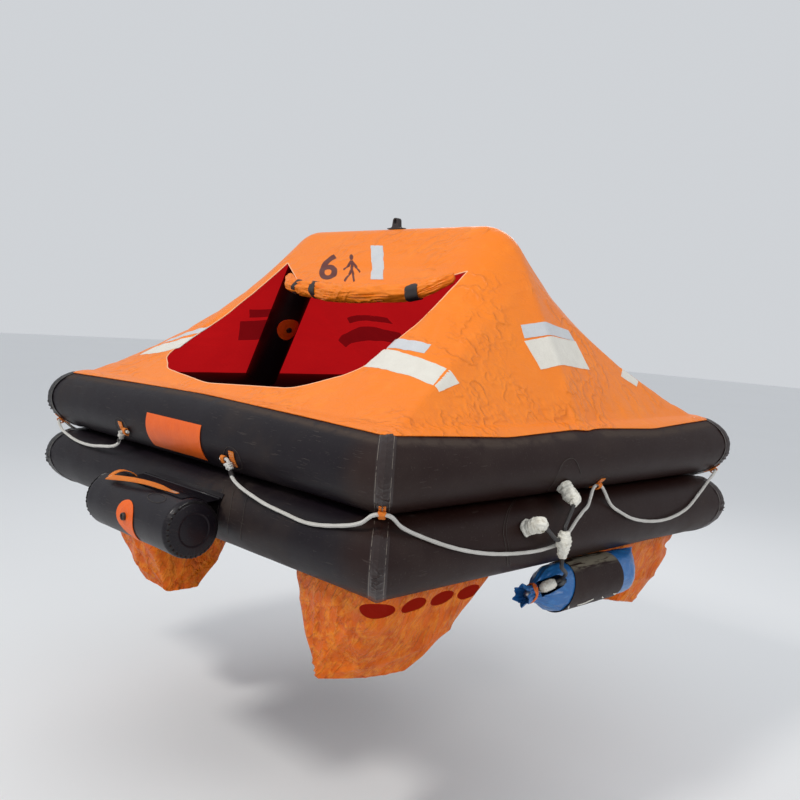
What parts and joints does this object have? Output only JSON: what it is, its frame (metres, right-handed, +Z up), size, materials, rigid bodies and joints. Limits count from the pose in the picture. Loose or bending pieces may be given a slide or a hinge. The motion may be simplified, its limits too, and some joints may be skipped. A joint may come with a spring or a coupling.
{
  "type": "inflatable life raft",
  "caption": "Square inflatable life raft with stacked buoyancy tubes, an arch-borne canopy, a boarding step, ballast pockets, a lifeline and a gas bottle.",
  "frame": {"origin": "centre of the hole of the hoist eye, on the crown of the canopy", "axes": "+Z up, -Y towards the boarding side with the doorway and the step, +X towards the side with the gas bottle; the crown of the arch runs along X"},
  "size_m": [2.1776, 2.1478, 1.5686],
  "materials": {
    "tube_fabric": "satin rubber-coated fabric",
    "canopy_fabric": "semi-gloss coated fabric",
    "pocket_fabric": "semi-gloss coated fabric, red inside",
    "webbing": "matt webbing and patches",
    "rope": "braided, matt",
    "pouch_fabric": "satin coated fabric",
    "tape": "wound tape, matt",
    "bottle_steel": "plain",
    "black_trim": "matt black straps and hoses"
  },
  "bodies": {
    "hull": {"upper_tube": "tube_fabric", "lower_tube": "tube_fabric", "arch_tube": "tube_fabric", "step_seam_strip": "tube_fabric", "floor": "tube_fabric", "canopy": "canopy_fabric", "door_flap": "canopy_fabric", "pocket_front_right": "pocket_fabric", "pocket_back_right": "pocket_fabric", "pocket_back_left": "pocket_fabric", "pocket_front_left": "pocket_fabric", "loop_boarding_right": "webbing", "loop_corner_front_right": "webbing", "loop_side_right": "webbing", "loop_corner_back_right": "webbing", "loop_back_right": "webbing", "loop_back_left": "webbing", "loop_corner_back_left": "webbing", "loop_side_left": "webbing", "loop_corner_front_left": "webbing", "loop_boarding_left": "webbing", "boarding_sign": "webbing", "arch_valve": "webbing", "lifeline": "rope", "lifeline_knot_right": "rope", "lifeline_knot_left": "rope", "bottle_pouch": "pouch_fabric", "fitting_upper": "tape", "fitting_lower": "tape", "hose_branch": "tape", "hose_coupling": "tape", "gas_bottle": "bottle_steel", "hose_upper": "black_trim", "hose_lower": "black_trim", "hose_bottle": "black_trim", "door_tie_left": "black_trim", "door_tie_middle": "black_trim", "door_tie_right": "black_trim", "bottle_sleeve": "black_trim", "lifeline_whipping_left": "black_trim", "lifeline_whipping_right": "black_trim", "hoist_eye": "black_trim"},
    "boarding_step": {"boarding_step": "tube_fabric", "step_web": "tube_fabric", "step_handle": "webbing", "step_valve": "webbing"}
  },
  "joints": [
    {"name": "boarding_step_swing", "type": "hinge", "parent": "hull", "child": "boarding_step", "pos_m": [0, -0.9624, -1.0081], "axis": [-1, 0, 0], "range_deg": [0, 40]}
  ]
}
